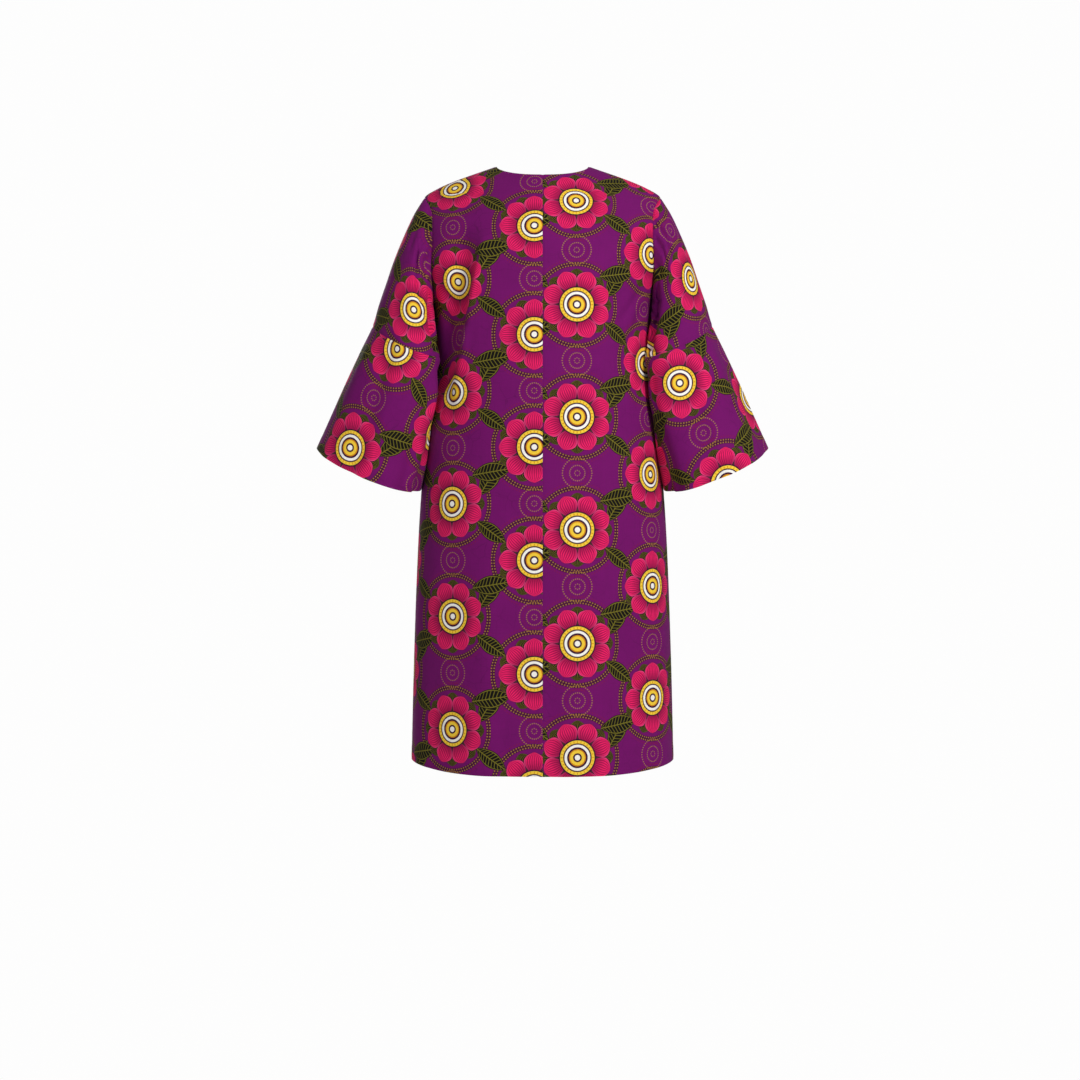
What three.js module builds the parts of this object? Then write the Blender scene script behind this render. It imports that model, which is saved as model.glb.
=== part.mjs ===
// A knee-length open-front jacket in printed cotton, hollow and hanging as it is worn.
// Units are millimetres. +Z is up, the front faces -Y and the wearer's left is +X.
// The origin lies midway between the two points where the shoulder seams meet the neckline.
// Each cut piece is a thin closed wall, 0.3 mm from the pieces that it is sewn to.

import * as THREE from "three";
import { mergeVertices } from "three/addons/utils/BufferGeometryUtils.js";

// Driving dimensions
const clothWall = 2;
const seamGap = 0.3;
const slantedSeamGap = 0.36;
const neck = { halfWidth: 80, backDrop: 24 };
const shoulderTip = { x: 206, drop: 54 };
const armhole = { topDrop: 54, bottomDrop: 254, backDepth: 54, frontDepth: 60, topNarrowing: 1.6 };
const hem = { sideDrop: 1033, centreExtra: 15, roundness: 4 };
const frontEdge = { hangX: 36, veeDrop: 300, easing: 0.25 };
const sleeveFullness = { outer: 1.8, inner: 2.8 };
const sleeveClearance = { fromBody: 3, softness: 1.5 };
// A sleeve's ring hangs lower at the back by its dip and rises at the front by a share of it.
const sleeveDip = { power: 1.2, frontShare: 0.35 };
// How far the cloth's edge leans out along X where it faces the armhole's middle. The sleeve's lean
// changes from its value at the shoulder tip to the other within a share of the armhole's height.
const edgeLean = { body: -0.5, sleeveTop: -0.5, sleeveBelow: 1, changeShare: 0.4 };

// How many cells each piece is divided into
const panelColumns = 12;
const skirtRows = 15;
const armholeRows = 12;
const yokeRows = 7;
const sleeveSides = 2 * armholeRows;
const ringsPerStation = 2;

// The body's form: drop is the depth below the neck point, halfWidth runs to the side seam, or to
// the shoulder seam above the shoulder tip, and back and front are how far the cloth stands behind
// and before that seam. fullness is how round a level line is: 1 is straight from the middle to
// the side and 2 is an oval.
const formRings = [
  { drop: 0, halfWidth: 80, back: 40, front: 20, fullness: 1.3 },
  { drop: 9, halfWidth: 106, back: 48, front: 28, fullness: 1.3 },
  { drop: 18, halfWidth: 132, back: 54, front: 35, fullness: 1.32 },
  { drop: 27, halfWidth: 156, back: 60, front: 42, fullness: 1.34 },
  { drop: 38, halfWidth: 181, back: 68, front: 49, fullness: 1.37 },
  { drop: 54, halfWidth: 206, back: 80, front: 60, fullness: 1.42 },
  { drop: 82, halfWidth: 210, back: 97, front: 79, fullness: 1.7 },
  { drop: 120, halfWidth: 211, back: 113, front: 100, fullness: 2 },
  { drop: 180, halfWidth: 205, back: 128, front: 122, fullness: 2.2 },
  { drop: 254, halfWidth: 190, back: 137, front: 138, fullness: 2.3 },
  { drop: 380, halfWidth: 195, back: 144, front: 148, fullness: 2.3 },
  { drop: 500, halfWidth: 206, back: 151, front: 151, fullness: 2.3 },
  { drop: 640, halfWidth: 216, back: 159, front: 152, fullness: 2.3 },
  { drop: 850, halfWidth: 224, back: 163, front: 152, fullness: 2.3 },
  { drop: 1060, halfWidth: 229, back: 166, front: 153, fullness: 2.3 },
];

// The sleeve's rings: the outer end lies over the arm and the inner end under it, halfDepth is
// the reach to front and back of midY, and backDip is how far the ring hangs lower at the back.
// Its outline is an oval, flatter towards the outer end and fuller towards the inner one.
const sleeveRings = [
  { ring: 0, outerX: 206, outerDrop: 54, innerX: 188, innerDrop: 254, halfDepth: 57, midY: 0, backDip: 0 },
  { ring: 1, outerX: 224, outerDrop: 84, innerX: 186, innerDrop: 262, halfDepth: 66, midY: 3, backDip: 0 },
  { ring: 2, outerX: 241, outerDrop: 121, innerX: 184, innerDrop: 272, halfDepth: 72, midY: 6, backDip: 4 },
  { ring: 3, outerX: 258, outerDrop: 163, innerX: 181, innerDrop: 284, halfDepth: 77, midY: 9, backDip: 9 },
  { ring: 4, outerX: 272, outerDrop: 205, innerX: 177, innerDrop: 299, halfDepth: 81, midY: 12, backDip: 14 },
  { ring: 5, outerX: 285, outerDrop: 244, innerX: 172, innerDrop: 315, halfDepth: 85, midY: 14, backDip: 19 },
  { ring: 6, outerX: 296, outerDrop: 281, innerX: 168, innerDrop: 331, halfDepth: 89, midY: 15, backDip: 20 },
  { ring: 7, outerX: 317, outerDrop: 325, innerX: 161, innerDrop: 365, halfDepth: 95, midY: 15, backDip: 19 },
  { ring: 8, outerX: 341, outerDrop: 376, innerX: 163, innerDrop: 411, halfDepth: 99, midY: 14, backDip: 19 },
  { ring: 9, outerX: 367, outerDrop: 434, innerX: 184, innerDrop: 482, halfDepth: 102, midY: 13, backDip: 21 },
  { ring: 10, outerX: 393, outerDrop: 492, innerX: 209, innerDrop: 562, halfDepth: 106, midY: 12, backDip: 23 },
];
const elbowRing = 6;
const cuffRing = 10;

// The largest soft folds of the body: each runs from its first point to its second, and depth
// is how far its middle lies inside the form. A negative depth is a ridge.
const bodyFolds = [
  { face: "back", x0: 120, drop0: 96, x1: 180, drop1: 440, width: 21, depth: 9 },
  { face: "back", x0: 88, drop0: 110, x1: 146, drop1: 450, width: 20, depth: -3 },
  { face: "back", x0: -124, drop0: 120, x1: -166, drop1: 400, width: 20, depth: 6 },
  { face: "back", x0: 150, drop0: 620, x1: 168, drop1: 1075, width: 34, depth: 6 },
  { face: "back", x0: -138, drop0: 560, x1: -160, drop1: 1075, width: 36, depth: 5 },
  { face: "front", x0: 118, drop0: 290, x1: 132, drop1: 1075, width: 26, depth: 8 },
  { face: "front", x0: 74, drop0: 330, x1: 80, drop1: 1075, width: 24, depth: -6 },
  { face: "front", x0: -112, drop0: 300, x1: -126, drop1: 1075, width: 28, depth: 7 },
  { face: "front", x0: -70, drop0: 360, x1: -84, drop1: 1075, width: 24, depth: -6 },
];
const foldFade = 0.16;
const foldTaper = 0.22;

// The largest folds of a sleeve: from one ring to another at a turn round the sleeve in
// degrees, where 0 is over the arm, 90 is the back and 180 is under the arm.
const sleeveFolds = [
  { side: 1, ring0: 0.6, turn0: 118, ring1: 4.6, turn1: 138, width: 15, depth: 9 },
  { side: 1, ring0: 5.4, turn0: 62, ring1: 10.5, turn1: 74, width: 19, depth: 7 },
  { side: 1, ring0: 5.6, turn0: 250, ring1: 10.5, turn1: 262, width: 20, depth: 8 },
  { side: -1, ring0: 0.6, turn0: 112, ring1: 4.2, turn1: 134, width: 15, depth: 8 },
  { side: -1, ring0: 5.2, turn0: 82, ring1: 10.5, turn1: 92, width: 20, depth: 6 },
  { side: -1, ring0: 5.6, turn0: 270, ring1: 10.5, turn1: 280, width: 20, depth: 8 },
];

const faceSign = { back: 1, front: -1 };
const lerp = THREE.MathUtils.lerp;
const degrees = THREE.MathUtils.degToRad;

// A column of a table at any value between its rows, along a smooth curve through the rows.
function readTable(rows, by, key, value) {
  let i = 0;
  while (i < rows.length - 2 && value > rows[i + 1][by]) i += 1;
  const slopeAt = (k) => {
    const before = rows[Math.max(k - 1, 0)];
    const after = rows[Math.min(k + 1, rows.length - 1)];
    return (after[key] - before[key]) / (after[by] - before[by]);
  };
  const span = rows[i + 1][by] - rows[i][by];
  const s = (value - rows[i][by]) / span;
  const start = rows[i][key];
  const rise = rows[i + 1][key] - start;
  const slope0 = slopeAt(i) * span;
  const slope1 = slopeAt(i + 1) * span;
  return start + s * (slope0 + s * (3 * rise - 2 * slope0 - slope1 + s * (slope0 + slope1 - 2 * rise)));
}

function formSize(drop) {
  return {
    halfWidth: readTable(formRings, "drop", "halfWidth", drop),
    back: readTable(formRings, "drop", "back", drop),
    front: readTable(formRings, "drop", "front", drop),
    fullness: readTable(formRings, "drop", "fullness", drop),
  };
}

// A point of the body's form. turn is 0 at the centre line and a quarter turn at the seam.
function formPoint(face, turn, drop) {
  const size = formSize(drop);
  const power = 2 / size.fullness;
  const x = size.halfWidth * Math.sin(turn) ** power;
  const y = size[face] * Math.max(Math.cos(turn), 0) ** power;
  return new THREE.Vector3(x, faceSign[face] * y, -drop);
}

// The way from the outside of the form to its inside at a point, square to the cloth.
function formInward(face, turn, drop) {
  const turnStep = 0.02;
  const dropStep = 1;
  const right = formPoint(face, Math.min(turn + turnStep, Math.PI / 2), drop);
  const across = right.sub(formPoint(face, Math.max(turn - turnStep, 0), drop));
  const up = formPoint(face, turn, drop - dropStep).sub(formPoint(face, turn, drop + dropStep));
  return up.cross(across).multiplyScalar(-faceSign[face]).normalize();
}

// The turn at which the form at this drop is x from the centre line.
function turnAtX(x, drop) {
  const size = formSize(drop);
  return Math.asin(Math.min(x / size.halfWidth, 1) ** (size.fullness / 2));
}

// The turn at which the form at this drop is y from the side seam.
function turnAtY(face, y, drop) {
  const size = formSize(drop);
  return Math.acos((y / size[face]) ** (size.fullness / 2));
}

// The armhole: an oval in the side of the form, narrower towards its top. around is 0 at the
// shoulder tip and half a turn at the underarm.
function armholePoint(face, around) {
  const middle = (armhole.topDrop + armhole.bottomDrop) / 2;
  const halfHeight = (armhole.bottomDrop - armhole.topDrop) / 2;
  const drop = middle - halfHeight * Math.cos(around);
  const reach = face === "back" ? armhole.backDepth : armhole.frontDepth;
  const narrowing = around < Math.PI / 2 ? armhole.topNarrowing : 1;
  const y = reach * Math.max(Math.sin(around), 0) ** narrowing;
  return formPoint(face, turnAtY(face, y, drop), drop);
}

// The way the cloth's edge faces along the armhole: towards the hole's middle, with a lean on X.
function armholeInward(edge, lean) {
  const middleDrop = (armhole.topDrop + armhole.bottomDrop) / 2;
  const toMiddle = new THREE.Vector3(0, -edge.y, -middleDrop - edge.z).normalize();
  return toMiddle.setX(lean).normalize();
}

function sleeveEdgeInward(edge) {
  const down = (-edge.z - armhole.topDrop) / (armhole.bottomDrop - armhole.topDrop);
  const change = THREE.MathUtils.smoothstep(down, 0, edgeLean.changeShare);
  return armholeInward(edge, lerp(edgeLean.sleeveTop, edgeLean.sleeveBelow, change));
}

// How deep the body's folds are at a point. Each fades at its ends and over its width.
function foldDepth(face, x, drop) {
  let depth = 0;
  for (const fold of bodyFolds) {
    if (fold.face !== face) continue;
    const runX = fold.x1 - fold.x0;
    const runDrop = fold.drop1 - fold.drop0;
    const length = Math.hypot(runX, runDrop);
    const along = ((x - fold.x0) * runX + (drop - fold.drop0) * runDrop) / length ** 2;
    const across = ((x - fold.x0) * runDrop - (drop - fold.drop0) * runX) / length;
    const start = THREE.MathUtils.smoothstep(along, 0, foldTaper);
    const end = fold.drop1 > hem.sideDrop ? 1 : THREE.MathUtils.smoothstep(1 - along, 0, foldTaper);
    depth += fold.depth * start * end * Math.exp(-((across / fold.width) ** 2));
  }
  return depth;
}

// A row of a body panel, as outer and inner points. placeAt gives the turn and the drop of each
// share of the row, from 0 at the centre back or the front edge to 1.
function bodyRow(side, face, placeAt) {
  const outer = [];
  const inner = [];
  for (let i = 0; i <= panelColumns; i += 1) {
    const u = i / panelColumns;
    const [turn, drop] = placeAt(u);
    const point = formPoint(face, turn, drop);
    const inside = THREE.MathUtils.smoothstep(Math.min(u, 1 - u), 0, foldFade);
    point.y -= faceSign[face] * inside * foldDepth(face, side * point.x, drop);
    outer.push(point);
    inner.push(point.clone().addScaledVector(formInward(face, turn, drop), clothWall));
  }
  return { outer, inner };
}

// How far the front edge lies from the centre line: it hangs straight below the vee of the neck.
function frontEdgeX(drop) {
  if (drop >= frontEdge.veeDrop) return frontEdge.hangX;
  const eased = (share) => THREE.MathUtils.smoothstep(share, -frontEdge.easing, 1 + frontEdge.easing);
  const rise = (eased(1 - drop / frontEdge.veeDrop) - eased(0)) / (eased(1) - eased(0));
  return lerp(frontEdge.hangX, neck.halfWidth, rise);
}

function startTurn(face, drop) {
  return face === "back" ? 0 : turnAtX(frontEdgeX(drop), drop);
}

// A row of the skirt. rise is 0 at the hem, which dips towards the middle, and 1 at the underarm.
function skirtPlace(face, rise) {
  const firstTurn = startTurn(face, lerp(hem.sideDrop, armhole.bottomDrop, rise));
  return (u) => {
    const turn = lerp(firstTurn, Math.PI / 2, u);
    const bottom = hem.sideDrop + hem.centreExtra * (1 - Math.sin(turn) ** hem.roundness);
    return [turn, lerp(bottom, armhole.bottomDrop, rise)];
  };
}

// A row of the yoke, from the shoulder tip's level at rise 0 to the neckline at rise 1. It ends on
// the shoulder seam. The back's neckline is a quarter of an oval, and the front's rows are level.
function yokePlace(face, rise) {
  if (face === "front") {
    const drop = lerp(shoulderTip.drop, 0, rise);
    return (u) => [lerp(startTurn(face, drop), Math.PI / 2, u), drop];
  }
  return (u) => {
    const quarter = (u * Math.PI) / 2;
    const neckDrop = neck.backDrop * Math.cos(quarter);
    const neckTurn = turnAtX(neck.halfWidth * Math.sin(quarter), neckDrop);
    return [lerp(quarter, neckTurn, rise), lerp(shoulderTip.drop, neckDrop, rise)];
  };
}

// The rows of a body panel, from the hem to the underarm, up the armhole to the shoulder tip,
// and over the yoke to the neckline.
function panelRows(side, face) {
  const rows = [];
  for (let j = 0; j < skirtRows; j += 1) {
    rows.push(bodyRow(side, face, skirtPlace(face, j / skirtRows)));
  }
  for (let k = 0; k <= armholeRows; k += 1) {
    const edge = armholePoint(face, Math.PI * (1 - k / armholeRows));
    const endTurn = turnAtY(face, Math.abs(edge.y), -edge.z);
    const row = bodyRow(side, face, (u) => [lerp(startTurn(face, -edge.z), endTurn, u), -edge.z]);
    const inward = armholeInward(edge, edgeLean.body);
    row.inner[panelColumns] = edge.clone().addScaledVector(inward, clothWall);
    rows.push(row);
  }
  for (let k = 1; k <= yokeRows; k += 1) {
    rows.push(bodyRow(side, face, yokePlace(face, k / yokeRows)));
  }
  return rows;
}

// Keeps a panel half a seam's gap from the centre back and from the side and shoulder seams.
function trimSeams(rows, face) {
  for (const row of rows) {
    for (const point of row) {
      if (face === "back") point.x = Math.max(point.x, seamGap / 2);
      point.y = faceSign[face] * Math.max(faceSign[face] * point.y, seamGap / 2);
    }
  }
}

// A closed wall between an outer and an inner grid of points. A ring's last column meets its first.
function closedWall(outer, inner, isRing) {
  const positions = [];
  const corner = (point) => positions.push(point.x, point.y, point.z);
  const quad = (a, b, c, d) => [a, b, c, a, c, d].forEach(corner);
  const lastRow = outer.length - 1;
  const columns = outer[0].length;
  const lastColumn = isRing ? columns : columns - 1;
  for (let i = 0; i < lastColumn; i += 1) {
    const n = (i + 1) % columns;
    for (let j = 0; j < lastRow; j += 1) {
      quad(outer[j][i], outer[j][n], outer[j + 1][n], outer[j + 1][i]);
      quad(inner[j][i], inner[j + 1][i], inner[j + 1][n], inner[j][n]);
    }
    quad(outer[0][i], inner[0][i], inner[0][n], outer[0][n]);
    quad(outer[lastRow][i], outer[lastRow][n], inner[lastRow][n], inner[lastRow][i]);
  }
  if (!isRing) {
    for (let j = 0; j < lastRow; j += 1) {
      quad(outer[j][0], outer[j + 1][0], inner[j + 1][0], inner[j][0]);
      quad(
        outer[j][lastColumn],
        inner[j][lastColumn],
        inner[j + 1][lastColumn],
        outer[j + 1][lastColumn],
      );
    }
  }
  return sound(positions);
}

// Merges the corners, drops triangles that have shrunk to a line, and turns the faces outwards.
function sound(positions) {
  const loose = new THREE.BufferGeometry();
  loose.setAttribute("position", new THREE.Float32BufferAttribute(positions, 3));
  const merged = mergeVertices(loose, 1e-3);
  const place = merged.attributes.position;
  const kept = [];
  let volume = 0;
  const corners = [new THREE.Vector3(), new THREE.Vector3(), new THREE.Vector3()];
  for (let i = 0; i < merged.index.count; i += 3) {
    const [a, b, c] = [0, 1, 2].map((k) => merged.index.getX(i + k));
    if (a === b || b === c || c === a) continue;
    kept.push(a, b, c);
    [a, b, c].forEach((index, k) => corners[k].fromBufferAttribute(place, index));
    volume += corners[0].dot(corners[1].cross(corners[2]));
  }
  if (volume < 0) kept.reverse();
  merged.setIndex(kept);
  merged.computeVertexNormals();
  return merged;
}

function mirrored(rows, side) {
  return rows.map((row) => row.map((point) => new THREE.Vector3(side * point.x, point.y, point.z)));
}

function bodyPanel(side, face) {
  const rows = panelRows(side, face);
  const outer = rows.map((row) => row.outer);
  const inner = rows.map((row) => row.inner);
  trimSeams(outer, face);
  trimSeams(inner, face);
  return closedWall(mirrored(outer, side), mirrored(inner, side), false);
}

// How far out the body's side stands at this depth and drop.
function bodySide(y, drop) {
  const size = formSize(drop);
  const reach = y > 0 ? size.back : size.front;
  const share = Math.min(Math.abs(y) / reach, 1);
  return size.halfWidth * (1 - share ** size.fullness) ** (1 / size.fullness);
}

// Moves a sleeve point out along X where it would come nearer to the body than its clearance.
function keepClearOfBody(point) {
  const limit = bodySide(point.y, -point.z) + sleeveClearance.fromBody;
  const past = (point.x - limit) / sleeveClearance.softness;
  point.x = limit + sleeveClearance.softness * Math.log1p(Math.exp(past));
}

function sleeveFoldDepth(side, ring, turn, size) {
  let depth = 0;
  for (const fold of sleeveFolds) {
    if (fold.side !== side) continue;
    const along = (ring - fold.ring0) / (fold.ring1 - fold.ring0);
    if (along < 0 || along > 1) continue;
    const middle = lerp(fold.turn0, fold.turn1, along);
    const across = degrees(turn - middle) * size;
    const start = THREE.MathUtils.smoothstep(along, 0, foldTaper);
    const end = fold.ring1 > cuffRing ? 1 : THREE.MathUtils.smoothstep(1 - along, 0, foldTaper);
    depth += fold.depth * start * end * Math.exp(-((across / fold.width) ** 2));
  }
  return depth;
}

// One ring of a sleeve as outer and inner points. turn is 0 over the arm and 180 under it.
function sleeveRing(side, ring) {
  const read = (key) => readTable(sleeveRings, "ring", key, ring);
  const outerEnd = new THREE.Vector3(read("outerX"), 0, -read("outerDrop"));
  const innerEnd = new THREE.Vector3(read("innerX"), 0, -read("innerDrop"));
  const middle = outerEnd.clone().add(innerEnd).multiplyScalar(0.5);
  const halfReach = outerEnd.clone().sub(middle);
  const halfDepth = read("halfDepth");
  const joined = THREE.MathUtils.smoothstep(ring, 0, 1);
  const outer = [];
  for (let i = 0; i < sleeveSides; i += 1) {
    const turn = (2 * Math.PI * i) / sleeveSides;
    const face = i <= sleeveSides / 2 ? "back" : "front";
    const around = face === "back" ? turn : 2 * Math.PI - turn;
    const [reachShare, depthShare] = sleeveOutline(turn);
    const open = middle.clone().addScaledVector(halfReach, reachShare);
    open.y = read("midY") + halfDepth * depthShare;
    const dip = read("backDip") * Math.abs(depthShare) ** sleeveDip.power;
    open.z -= depthShare > 0 ? dip : -sleeveDip.frontShare * dip;
    const fold = sleeveFoldDepth(side, ring, (360 * i) / sleeveSides, halfDepth);
    const toMiddle = middle.clone().setY(read("midY")).sub(open).normalize();
    open.addScaledVector(toMiddle, fold);
    keepClearOfBody(open);
    outer.push(armholePoint(face, around).lerp(open, joined));
  }
  const down = new THREE.Vector3(0, 1, 0).cross(halfReach).normalize();
  if (down.z > 0) down.negate();
  const inner = outer.map((point, i) => {
    const next = outer[(i + 1) % sleeveSides];
    const before = outer[(i + sleeveSides - 1) % sleeveSides];
    const inward = next.clone().sub(before).cross(down).normalize();
    if (inward.dot(middle.clone().sub(point)) < 0) inward.negate();
    inward.lerp(sleeveEdgeInward(point), 1 - joined).normalize();
    return point.clone().addScaledVector(inward, clothWall);
  });
  return { outer, inner, down };
}

// A sleeve ring's outline at a turn, as shares of its half reach outwards and its half depth back.
function sleeveOutline(turn) {
  const along = Math.cos(turn);
  const across = Math.sin(turn);
  const power = 2 / (along > 0 ? sleeveFullness.outer : sleeveFullness.inner);
  return [Math.sign(along) * Math.abs(along) ** power, Math.sign(across) * Math.abs(across) ** power];
}

function sleevePiece(side, firstRing, lastRing) {
  const count = (lastRing - firstRing) * ringsPerStation;
  const outer = [];
  const inner = [];
  for (let k = 0; k <= count; k += 1) {
    const made = sleeveRing(side, firstRing + k / ringsPerStation);
    const shift = new THREE.Vector3();
    if (k === 0 && firstRing === 0) shift.set(slantedSeamGap, 0, 0);
    if (k === 0 && firstRing > 0) shift.copy(made.down).multiplyScalar(slantedSeamGap);
    outer.push(made.outer.map((point) => point.clone().add(shift)));
    inner.push(made.inner.map((point) => point.clone().add(shift)));
  }
  const geometry = closedWall(mirrored(outer, side), mirrored(inner, side), true);
  return geometry.translate(-side * shoulderTip.x, 0, shoulderTip.drop);
}

function piece(name, geometry, colour) {
  const material = new THREE.MeshStandardMaterial({ color: colour, roughness: 0.78, metalness: 0 });
  const mesh = new THREE.Mesh(geometry, material);
  mesh.name = name;
  return mesh;
}

const purple = 0x6a1a63;
const paler = 0x74206c;

const jacket = new THREE.Group();
for (const [word, side] of [["left", 1], ["right", -1]]) {
  jacket.add(piece(`back_${word}`, bodyPanel(side, "back"), purple));
  jacket.add(piece(`front_${word}`, bodyPanel(side, "front"), purple));
  const sleeve = new THREE.Group();
  sleeve.position.set(side * shoulderTip.x, 0, -shoulderTip.drop);
  sleeve.add(piece(`sleeve_upper_${word}`, sleevePiece(side, 0, elbowRing), paler));
  sleeve.add(piece(`sleeve_flare_${word}`, sleevePiece(side, elbowRing, cuffRing), paler));
  jacket.add(sleeve);
}

export default jacket;
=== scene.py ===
"""A knee-length open-front jacket in wax-print cotton, hollow, as it hangs when it is worn.

Sizes are the cut's own, in millimetres, and go into the meshes in metres. +Z is up, the open front
faces -Y and the jacket's left is +X. The origin lies midway between the two points where the
shoulder seams meet the neckline. Every piece of cloth is a surface of two parameters on a grid,
worked out for the left side and mirrored for the right.
"""

import math
from collections import namedtuple

import bpy
import numpy as np
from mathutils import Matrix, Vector


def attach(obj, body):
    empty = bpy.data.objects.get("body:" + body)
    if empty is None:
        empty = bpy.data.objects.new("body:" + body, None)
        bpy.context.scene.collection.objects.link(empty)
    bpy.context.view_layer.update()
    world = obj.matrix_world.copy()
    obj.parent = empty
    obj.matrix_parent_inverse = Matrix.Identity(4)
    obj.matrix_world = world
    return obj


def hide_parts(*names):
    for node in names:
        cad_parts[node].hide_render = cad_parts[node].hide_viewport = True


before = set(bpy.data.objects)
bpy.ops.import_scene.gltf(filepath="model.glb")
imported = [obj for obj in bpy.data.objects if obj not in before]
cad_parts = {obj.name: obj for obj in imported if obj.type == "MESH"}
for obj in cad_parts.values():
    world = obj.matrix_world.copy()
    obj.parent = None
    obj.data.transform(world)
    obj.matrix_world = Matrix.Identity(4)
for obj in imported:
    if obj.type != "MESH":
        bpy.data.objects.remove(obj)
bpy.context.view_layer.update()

MM = 0.001
QUARTER = math.pi / 2
SIDES = {"left": 1, "right": -1}
FACE_SIGN = {"back": 1, "front": -1}

# The cut
SEAM_GAP = 0.002
SLANTED_SEAM_GAP = 0.05
OFF_THE_BODY = np.array([1, 0, 0])
DOWN_THE_SLEEVE = np.array([0.3, 0, -0.95])
TO_THE_MIDDLE = np.array([-1, -1, 0])
DOWNWARDS = np.array([0, 0, -100])
LEAST_FLARE = 0.01
NECK_HALF_WIDTH = 80
NECK_BACK_DROP = 24
SHOULDER_TIP_DROP = 54
UNDERARM_DROP = 254
ARMHOLE_DEPTH = {"back": 54, "front": 60}
ARMHOLE_TOP_NARROWING = 1.6
HEM_SIDE_DROP = 1033
HEM_CENTRE_EXTRA = 15
HEM_ROUNDNESS = 4
FRONT_EDGE_X = 36
VEE_DROP = 300
VEE_EASING = 0.25
SLEEVE_FULLNESS_OUTER = 1.8
SLEEVE_FULLNESS_INNER = 2.8
SLEEVE_CLEARANCE = 1.4
SLEEVE_CLEARANCE_SOFTNESS = 1.0
SLEEVE_DIP_POWER = 1.2
SLEEVE_FRONT_RISE = 0.35
ELBOW_RING = 6
CUFF_RING = 10

# The cloth
CLOTH_THICKNESS = 0.8
HEM_THICKNESS = 1.7
HEM_WIDTH = 22
EDGE_TURN_WIDTH = 12
EDGE_THICKNESS = 1.4
SEAM_ROLL_DEPTH = 1.0
SEAM_ROLL_WIDTH = 2.6
SLANTED_SEAM_FADE = 2
FRONT_TIP = 0.985
HEM_STEP = 0.3
HEM_STEP_FADE = 5
EDGE_CREASE_FADE = 8
SEAM_CREASE_FADE = 6
ARMHOLE_SEAM_FADE = 3

# The puckers along a line of stitches: how far apart they stand and how deep they are.
Puckers = namedtuple("Puckers", "pitch depth")
SIDE_PUCKERS = Puckers(15, 0.42)
CENTRE_BACK_PUCKERS = Puckers(18, 0.3)
UNDERARM_PUCKERS = Puckers(16, 0.3)
SLEEVE_START_PUCKERS = Puckers(13, 0.4)
SLEEVE_END_PUCKERS = Puckers(14, 0.35)
PUCKER_START = 4
PUCKER_FADE = 9
PUCKER_DRIFT = 1.9
DRIFT_PITCHES = 4.7
PUCKER_SWELL = 0.35
SWELL_PITCHES = 7.3

# How finely the pieces are divided
PANEL_COLUMNS = 96
HEM_ROWS = 12
SKIRT_ROWS = 140
ARMHOLE_ROWS = 60
YOKE_ROWS = 18
SLEEVE_SIDES = 2 * ARMHOLE_ROWS
UPPER_ROWS = 84
FLARE_ROWS = 76


def table(columns, rows):
    """Short rows of numbers under named columns, as a dictionary of arrays."""
    names = columns.split()
    return {name: np.array([row[i] for row in rows], float) for i, name in enumerate(names)}


# The body's form, as level lines: half_width runs to the side or shoulder seam, back and front are
# how far the cloth stands behind and before it, and fullness is how round the line is.
FORM = table("drop half_width back front fullness", [
    (0, 80, 40, 20, 1.30),
    (9, 106, 48, 28, 1.30),
    (18, 132, 54, 35, 1.32),
    (27, 156, 60, 42, 1.34),
    (38, 181, 68, 49, 1.37),
    (54, 206, 80, 60, 1.42),
    (82, 210, 97, 79, 1.70),
    (120, 211, 113, 100, 2.0),
    (180, 205, 128, 122, 2.2),
    (254, 190, 137, 138, 2.3),
    (380, 195, 144, 148, 2.3),
    (500, 206, 151, 151, 2.3),
    (640, 216, 159, 152, 2.3),
    (850, 224, 163, 152, 2.3),
    (1060, 229, 166, 153, 2.3),
])

# The sleeve's rings: the outer end lies on its top line and the inner end on its underarm line,
# half_depth is the reach to front and back of mid_y, and dip is how far the ring hangs lower at
# the back.
SLEEVE = table("ring outer_x outer_drop inner_x inner_drop half_depth mid_y dip", [
    (0, 206, 54, 188, 254, 57, 0, 0),
    (1, 224, 84, 186, 262, 66, 3, 0),
    (2, 241, 121, 184, 272, 72, 6, 4),
    (3, 258, 163, 181, 284, 77, 9, 9),
    (4, 272, 205, 177, 299, 81, 12, 14),
    (5, 285, 244, 172, 315, 85, 14, 19),
    (6, 296, 281, 168, 331, 89, 15, 20),
    (7, 317, 325, 161, 365, 95, 15, 19),
    (8, 341, 376, 163, 411, 99, 14, 19),
    (9, 367, 434, 184, 482, 102, 13, 21),
    (10, 393, 492, 209, 562, 106, 12, 23),
])

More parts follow.
